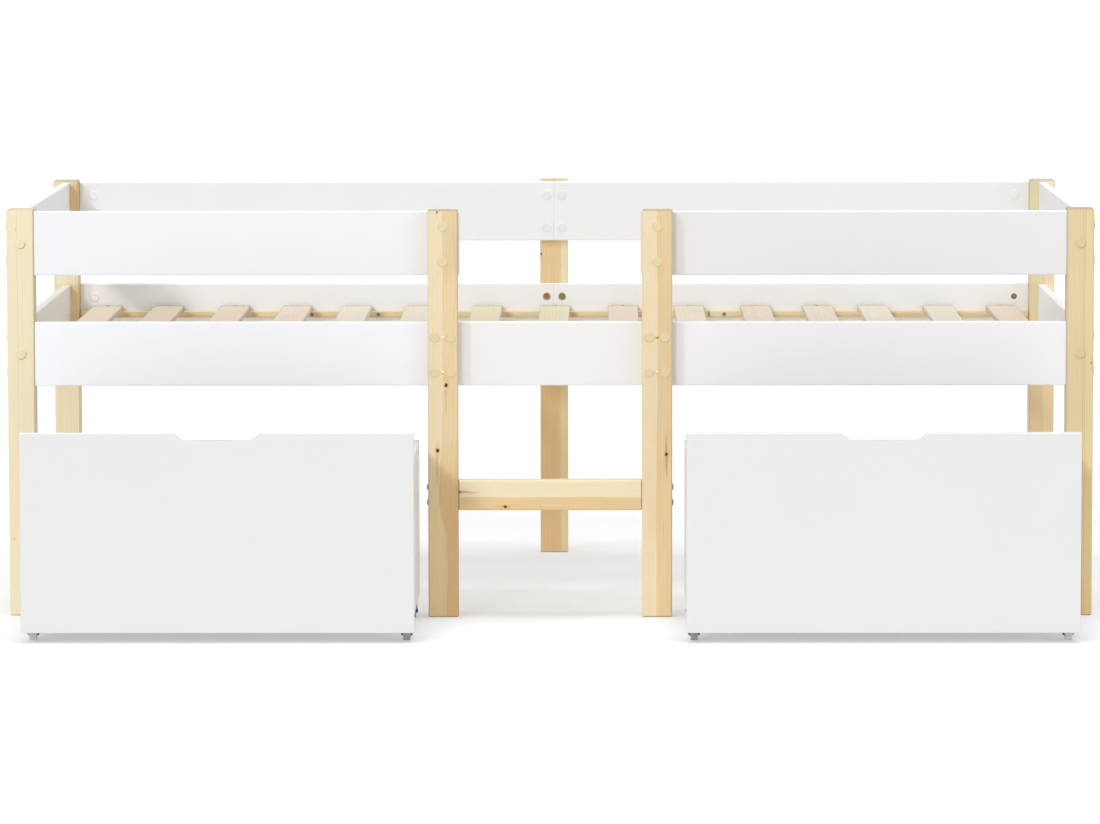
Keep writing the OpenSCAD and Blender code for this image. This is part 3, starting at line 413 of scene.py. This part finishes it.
def slat_pine(name, sap, heart, seed):
    span, count = 1770.0, 15
    pitch = span / (count - 1)
    g = Graph(name)
    u, v, w = g.y, g.x, g.z
    number = g.math("FLOOR", (v + span / 2 + pitch / 2) / pitch)
    own = g.chance(number * 1.37 + 0.31)
    own2 = g.chance(number * 2.11 + 5.77)
    own3 = g.chance(number * 3.93 + 9.13)
    local = v - (number * pitch - span / 2)
    where = u + own * 1900.0
    dv = local + (own2 - 0.5) * 90.0 + (g.noise(g.vector(where * 0.0021, number, 0.0), 1.0) - 0.5) * 16.0
    dw = w - 486.0 + 14.0 + own3 * 30.0 + (g.noise(g.vector(where * 0.0021, number, 5.0), 1.0) - 0.5) * 14.0
    warp = (g.noise(g.vector(where * 0.010, local * 0.045 + seed, w * 0.045), 2.0) - 0.5) * 4.2
    r = g.math("SQRT", dv * dv + dw * dw) + warp
    # small knots, spread over the slats by cells that are long along the grain
    q = g.vector(where * 0.0042, local * 0.013 + number * 3.7, 0.0)
    near, cell = g.cells(q)
    kn = g.ramp(near, 0.075, 0.045)
    some = g.math("GREATER_THAN", g.chance(g.math("FLOOR", where * 0.0042) + number * 7.0), 0.45)
    kn = kn * some
    r = r + g.ramp(near, 0.34, 0.0) * some * 5.0
    t = r / 3.3
    i = g.math("FLOOR", t)
    f = t - i
    band = g.ramp(f, 0.30, 0.88) * g.ramp(f, 1.0, 0.93) * (g.chance(i * 0.7131 + number) * 0.65 + 0.35)
    inside = g.ramp(r, own3 * 30.0 + 24.0, own3 * 30.0 + 18.0)
    base = g.mix(inside, sap, heart)
    base = g.mix(own2 * 0.55, base, scaled(sap, (0.97, 0.94, 0.90)))
    # the three slats on the left are a browner wood, two at the middle greener, four others paler, and the rest
    # lean to pink by chance
    dun = g.ramp(number, 2.9, 2.1)
    base = g.mix(dun, base, g.mix(1.0, base, (0.95, 0.91, 0.87), "MULTIPLY"))
    green = g.ramp(g.math("ABSOLUTE", number - 6.5), 1.3, 0.9) * 0.9
    base = g.mix(green, base, g.mix(1.0, base, (0.99, 1.01, 0.88), "MULTIPLY"))
    pale = g.math("MAXIMUM", g.ramp(g.math("ABSOLUTE", number - 4.5), 0.9, 0.6), g.ramp(g.math("ABSOLUTE", number - 12.5), 0.9, 0.6))
    base = g.mix(pale, base, g.mix(1.0, base, (1.02, 1.06, 1.09), "MULTIPLY"))
    pink = g.ramp(g.chance(number * 5.17 + 2.2), 0.35, 0.75) * (1.0 - green) * (1.0 - pale) * (1.0 - dun * 0.6)
    base = g.mix(pink, base, g.mix(1.0, base, (1.0, 0.95, 0.96), "MULTIPLY"))
    colour = g.mix(band * 0.55, base, g.mix(1.0, base, (0.90, 0.80, 0.69), "MULTIPLY"))
    fibre = g.noise(g.vector(where * 0.030, local * 2.3 + number, w * 2.3), 3.0, 0.62)
    cloud = g.noise(g.vector(where * 0.0045, local * 0.02, number), 2.0)
    colour = g.shade(colour, 0.92 + fibre * 0.07 + cloud * 0.08)
    colour = g.mix(kn * 0.8, colour, scaled(KNOT_RIM, 0.8))
    sawn = g.noise(g.vector(where * 0.5, local * 0.05, number), 1.0)
    # painted shade towards the ends, where the slats meet the rails
    grimy = g.ramp(g.math("ABSOLUTE", u - 176.75), 428.0, 462.0) * (0.45 + fibre * 0.5)
    colour = g.mix(grimy, colour, g.mix(1.0, colour, (0.74, 0.73, 0.64), "MULTIPLY"))
    ends = g.ramp(g.normal_along("y"), 0.75, 0.95)
    colour = g.mix(ends * 0.55, colour, g.mix(band, scaled(heart, (0.84, 0.76, 0.66)), scaled(heart, (0.60, 0.46, 0.33))))
    g.bump(band * 0.4 + fibre * 0.5 + sawn * 0.25 - kn * 0.3, 0.16)
    return g.finish(colour, fibre * 0.12 + 0.56, Specular_IOR_Level=0.3)


def boards():
    # the boards share one white paint; their tints differ a little in hue and also paint in the light and shade that
    # falls on each board
    tints = {
        "guard_rail_front_left": lin(236, 236, 238), "side_rail_front_left": lin(244, 244, 247),
        "side_rail_front_middle": lin(236, 235, 234),
        "guard_rail_front_right": lin(228, 227, 227), "side_rail_front_right": lin(239, 237, 240),
        "guard_rail_back_left": lin(240, 243, 245), "guard_rail_back_right": lin(240, 242, 244),
        "side_rail_back_left": lin(240, 241, 242), "side_rail_back_right": lin(240, 241, 242),
        "guard_rail_end_left": lin(246, 247, 249), "guard_rail_end_right": lin(247, 249, 251),
        "end_rail_left": lin(232, 229, 222), "end_rail_right": lin(250, 251, 250),
    }
    for k, (node, tint) in enumerate(sorted(tints.items())):
        dress(node, board_paint("paint_" + node, node, tint, 1.0 + 1.7 * k, along="y" if "end" in node else "x",
                                below=(473.0, (0.97, 0.965, 0.95)) if "side_rail_back" in node else None))
    tint = lin(223, 222, 221)
    for side in ("left", "right"):
        for k, (part, along) in enumerate((("front", "x"), ("side_outer", "y"), ("side_inner", "y"), ("back", "x"), ("base", "x"))):
            node = f"drawer_{side}_{part}"
            dress(node, board_paint("paint_" + node, node, tint, 31.0 + 2.3 * k + (9.0 if side == "left" else 0.0), along=along,
                                    grain=0.15, rough=0.36))


def yellow_plate():
    """Yellow-passivated steel: reddish on the left of each joint, greener on the right"""
    g = Graph("yellow_plate")
    fine = g.noise(g.vector(g.x * 3.0, g.y * 3.0 + 5.0, g.z * 3.0), 2.0)
    cloud = g.noise(g.vector(g.x * 0.3, g.y * 0.3, g.z * 0.3), 3.0, 0.6)
    colour = g.mix(g.ramp(g.x + (cloud - 0.5) * 8.0, -3.0, 5.0), lin(168, 112, 82), lin(136, 134, 88))
    colour = g.mix(g.ramp(cloud, 0.45, 0.62) * 0.45, colour, lin(196, 170, 112))
    colour = g.shade(colour, 0.90 + fine * 0.14)
    g.bump(fine, 0.02)
    return g.finish(colour, fine * 0.16 + cloud * 0.10 + 0.22, Metallic=1.0)


def castor_steel():
    """Zinc plate on the castors with painted shade: the outer cheeks of the outer castors stay bright, the other cheeks
    are darkened as painted shade under the drawer, and the rear castors darker still
    """
    g = Graph("castor_steel")
    cloud = g.noise(g.vector(g.x * 0.11 + 9.0, g.y * 0.11, g.z * 0.11), 3.0, 0.6)
    fine = g.noise(g.vector(g.x * 3.0, g.y * 3.0 + 9.0, g.z * 3.0), 2.0)
    # painted shade on every cheek but the outer ones of the outer castors
    dull = g.ramp(g.math("ABSOLUTE", g.x - 3.0), 916.0, 909.0)
    back = g.ramp(g.y, -500.0, -440.0)
    colour = g.mix(cloud, (0.56, 0.56, 0.57), (0.38, 0.38, 0.39))
    colour = g.mix(dull, colour, g.mix(cloud, (0.14, 0.135, 0.125), (0.07, 0.066, 0.06)))
    # painted shade on the rear castors, deep under the drawer
    colour = g.mix(back * 0.8, colour, (0.05, 0.046, 0.042))
    colour = g.shade(colour, 0.93 + fine * 0.10)
    g.bump(fine, 0.02)
    return g.finish(colour, fine * 0.16 + cloud * 0.10 + 0.26, Metallic=1.0)


def nylon():
    """Grey nylon wheels, the ones nearer the ladder darkened as painted shade"""
    g = Graph("grey_nylon")
    cloud = g.noise(g.vector(g.x * 0.05 + 6.0, g.y * 0.05, g.z * 0.05), 3.0)
    fine = g.noise(g.vector(g.x * 2.6, g.y * 2.6 + 6.0, g.z * 2.6), 2.0, 0.6)
    # painted shade on the wheels nearer the ladder, under the drawers
    colour = g.mix(g.ramp(g.math("ABSOLUTE", g.x - 3.0), 700.0, 400.0), lin(212, 211, 208), lin(160, 158, 150))
    colour = g.shade(colour, 0.92 + cloud * 0.10 + fine * 0.05)
    g.bump(fine, 0.05)
    return g.finish(colour, fine * 0.12 + cloud * 0.08 + 0.40, Specular_IOR_Level=0.45)


def white_plastic():
    """White caps that match the paint of the upper rail at its ends and are a little greyer elsewhere"""
    g = Graph("white_cap")
    cloud = g.noise(g.vector(g.x * 0.05 + 4.0, g.y * 0.05, g.z * 0.05), 3.0)
    fine = g.noise(g.vector(g.x * 2.6, g.y * 2.6 + 4.0, g.z * 2.6), 2.0, 0.6)
    outer = g.ramp(g.math("ABSOLUTE", g.x), 300.0, 700.0)
    upper = g.ramp(g.z, 560.0, 600.0)
    colour = g.mix(outer, lin(232, 235, 238), lin(238, 237, 238))
    colour = g.mix(outer * upper, colour, lin(239, 242, 245))
    colour = g.shade(colour, 0.985 + cloud * 0.02 + fine * 0.01)
    g.bump(fine, 0.03)
    return g.finish(colour, fine * 0.12 + cloud * 0.08 + 0.32, Specular_IOR_Level=0.42)


def stud_plate():
    """Pale brass, darker and olive on the upper right stud"""
    g = Graph("stud_plate")
    cloud = g.noise(g.vector(g.x * 0.4, g.y * 0.4, g.z * 0.4), 3.0, 0.6)
    fine = g.noise(g.vector(g.x * 3.0, g.y * 3.0 + 11.0, g.z * 3.0), 2.0)
    colour = g.mix(g.ramp(cloud, 0.4, 0.65), lin(250, 238, 168), lin(232, 210, 132))
    colour = g.mix(g.ramp(g.x, 0.0, 100.0) * g.ramp(g.z, 470.0, 490.0), colour, lin(178, 166, 96))
    colour = g.shade(colour, 0.92 + fine * 0.12)
    g.bump(fine, 0.02)
    return g.finish(colour, fine * 0.14 + cloud * 0.10 + 0.20, Metallic=1.0)


def pine_plastic():
    """Pine-coloured caps, lighter at the left end of the bed and darker towards the right"""
    g = Graph("pine_cap")
    cloud = g.noise(g.vector(g.x * 0.05 + 2.0, g.y * 0.05, g.z * 0.05), 3.0)
    fine = g.noise(g.vector(g.x * 2.6, g.y * 2.6 + 2.0, g.z * 2.6), 2.0, 0.6)
    colour = g.mix(g.ramp(g.x, -900.0, -300.0), lin(231, 216, 178), lin(222, 205, 163))
    colour = g.mix(g.ramp(g.x, 300.0, 900.0), colour, lin(215, 194, 152))
    colour = g.shade(colour, 0.97 + cloud * 0.04 + fine * 0.02)
    g.bump(fine, 0.03)
    return g.finish(colour, fine * 0.12 + cloud * 0.08 + 0.34, Specular_IOR_Level=0.45)


def hardware():
    zinc = metal("zinc_plate", (0.60, 0.61, 0.63), (0.40, 0.41, 0.43), 0.36, 3.0)
    # a darker zinc for the slat and batten screws: painted shade for their countersunk recesses
    dull = metal("dull_zinc", (0.34, 0.31, 0.28), (0.22, 0.19, 0.16), 0.42, 7.0)
    bracket = castor_steel()
    brass = yellow_plate()
    for node in ("corner_bolts", "post_bolts", "rung_bolts"):
        dress(node, zinc)
    dress("slat_and_batten_screws", dull)
    for node in ("barrel_nuts", "sleeve_nuts"):
        dress(node, brass)
    dress("joint_studs", stud_plate())
    dress("pine_bolt_caps", pine_plastic())
    dress("white_bolt_caps", white_plastic())
    wheel = nylon()
    for side in ("left", "right"):
        for part in ("cam_fittings", "screws"):
            dress(f"drawer_{side}_{part}", zinc)
        for part in ("castor_forks", "castor_axles"):
            dress(f"drawer_{side}_{part}", bracket)
        for fb in ("front", "back"):
            for io in ("outer", "inner"):
                dress(f"drawer_{side}_wheel_{fb}_{io}", wheel)


posts()
deck()
boards()
hardware()


# ---------------------------------------------------------------- floor, light and camera

def floor():
    mesh = bpy.data.meshes.new("studio_floor")
    s = 160.0
    mesh.from_pydata([(-s, -s, 0), (s, -s, 0), (s, s, 0), (-s, s, 0)], [], [(0, 1, 2, 3)])
    obj = bpy.data.objects.new("studio_floor", mesh)
    scene.collection.objects.link(obj)
    g = Graph("floor_pale")
    n = g.noise(g.vector(g.x * 0.002, g.y * 0.002, 0.0), 2.0)
    g.finish(g.shade((0.618, 0.630, 0.640), n * 0.01 + 0.995), n * 0.1 + 0.75, Specular_IOR_Level=0.0)
    g.bsdf.inputs["Emission Color"].default_value = (1.0, 1.0, 1.0, 1.0)
    g.bsdf.inputs["Emission Strength"].default_value = 0.29
    mesh.materials.append(g.material)


def sun(name, direction, strength, angle, colour=(1, 1, 1)):
    light = bpy.data.lights.new(name, "SUN")
    light.energy = strength
    light.angle = math.radians(angle)
    light.color = colour
    obj = bpy.data.objects.new(name, light)
    obj.rotation_euler = Vector(direction).to_track_quat("-Z", "Y").to_euler()
    scene.collection.objects.link(obj)


def lights():
    sun("overhead", (0.0, 0.04, -1.0), 1.84, 34.0)
    sun("key_low", (8.4, 28.0, -9.8), 0.58, 8.0)
    sun("key_high", (24.0, 28.0, -24.0), 0.60, 8.0)
    sun("side_fill", (-50.0, 28.0, -15.0), 0.55, 50.0)
    world = bpy.data.worlds.new("studio")
    world.use_nodes = True
    t = world.node_tree
    t.nodes.clear()
    out = t.nodes.new("ShaderNodeOutputWorld")
    a, b = t.nodes.new("ShaderNodeBackground"), t.nodes.new("ShaderNodeBackground")
    a.inputs[0].default_value = (1, 1, 1, 1)
    a.inputs[1].default_value = 0.42
    b.inputs[0].default_value = (1, 1, 1, 1)
    b.inputs[1].default_value = 1.0
    path = t.nodes.new("ShaderNodeLightPath")
    mix = t.nodes.new("ShaderNodeMixShader")
    either = t.nodes.new("ShaderNodeMath")
    either.operation = "MAXIMUM"
    part = t.nodes.new("ShaderNodeMath")
    part.operation = "MULTIPLY"
    part.inputs[1].default_value = 0.70
    t.links.new(path.outputs["Is Glossy Ray"], part.inputs[0])
    t.links.new(path.outputs["Is Camera Ray"], either.inputs[0])
    t.links.new(part.outputs[0], either.inputs[1])
    t.links.new(either.outputs[0], mix.inputs[0])
    t.links.new(a.outputs[0], mix.inputs[1])
    t.links.new(b.outputs[0], mix.inputs[2])
    t.links.new(mix.outputs[0], out.inputs[0])
    scene.world = world
    scene.view_settings.view_transform = "Standard"


def camera():
    yaw, pitch, roll = (math.radians(a) for a in (-0.483, 5.445, -0.081))
    forward = Vector((math.sin(yaw) * math.cos(pitch), math.cos(yaw) * math.cos(pitch), -math.sin(pitch)))
    right = Vector((math.cos(yaw), -math.sin(yaw), 0.0))
    up = right.cross(forward)
    right, up = right * math.cos(roll) + up * math.sin(roll), up * math.cos(roll) - right * math.sin(roll)
    cam = bpy.data.cameras.new("camera")
    cam.sensor_width = 36.0
    cam.lens = 5901.0 / 1100.0 * 36.0
    cam.clip_start, cam.clip_end = 0.1, 1000.0
    obj = bpy.data.objects.new("camera", cam)
    m = Matrix((right, up, -forward)).transposed().to_4x4()
    m.translation = Vector((0.090, -11.033, 1.396))
    obj.matrix_world = m
    scene.collection.objects.link(obj)
    scene.camera = obj


floor()
lights()
camera()
